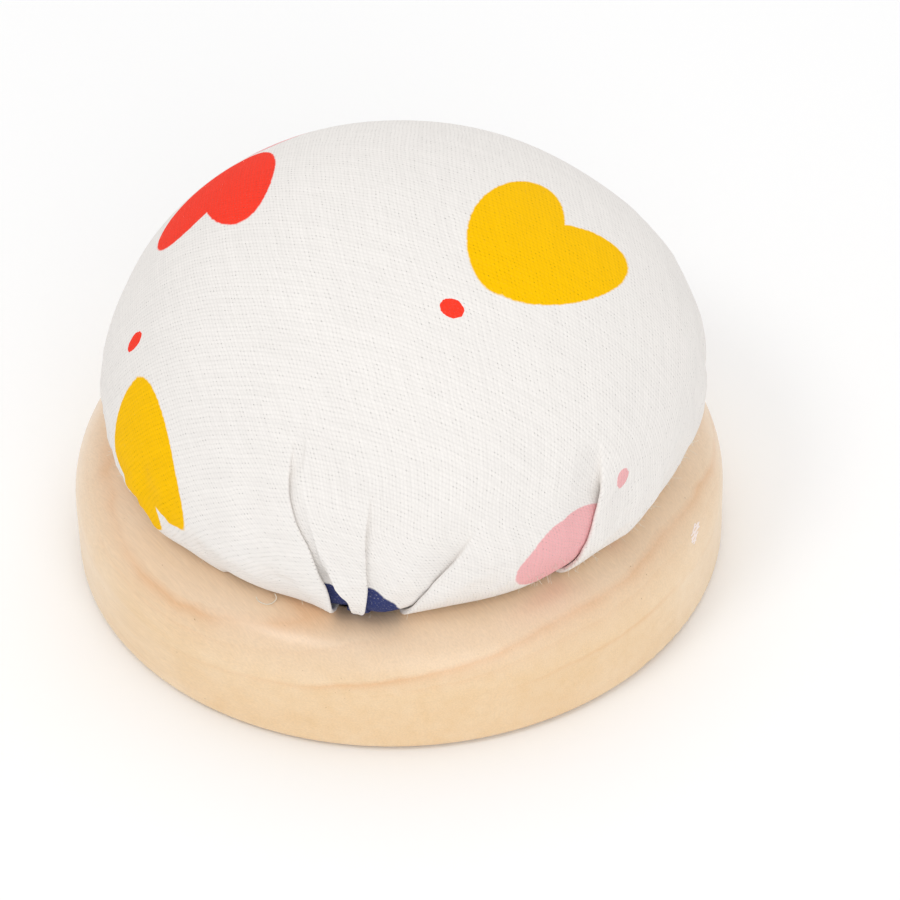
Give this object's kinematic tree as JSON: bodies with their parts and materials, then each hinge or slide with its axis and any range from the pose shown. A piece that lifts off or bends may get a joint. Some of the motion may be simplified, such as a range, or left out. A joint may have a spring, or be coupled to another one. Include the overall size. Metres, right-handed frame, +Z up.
{
  "type": "pin cushion",
  "caption": "Stuffed cotton dome with a heart print, gathered underneath and glued into the seat of a round turned wooden base, for holding sewing pins.",
  "frame": {"origin": "centre of the flat underside of the wooden base", "axes": "+Z up along the turning axis of the base, -Y towards the side that is seen from the front, +X to its right"},
  "size_m": [0.0688, 0.0688, 0.045],
  "materials": {
    "turned_wood": "sanded, thin clear satin coat",
    "printed_cotton": "plain-weave cotton with a printed pattern",
    "polyester_fibre": "loose fibre wadding",
    "grey_board": "uncoated",
    "sewing_thread": "twisted cotton thread",
    "hot_melt_glue": "set, slightly glossy"
  },
  "bodies": {
    "root": {"wooden_base": "turned_wood", "cushion_cover": "printed_cotton", "fibre_filling": "polyester_fibre", "backing_card": "grey_board", "gathering_thread": "sewing_thread", "glue_ring": "hot_melt_glue"}
  },
  "joints": []
}
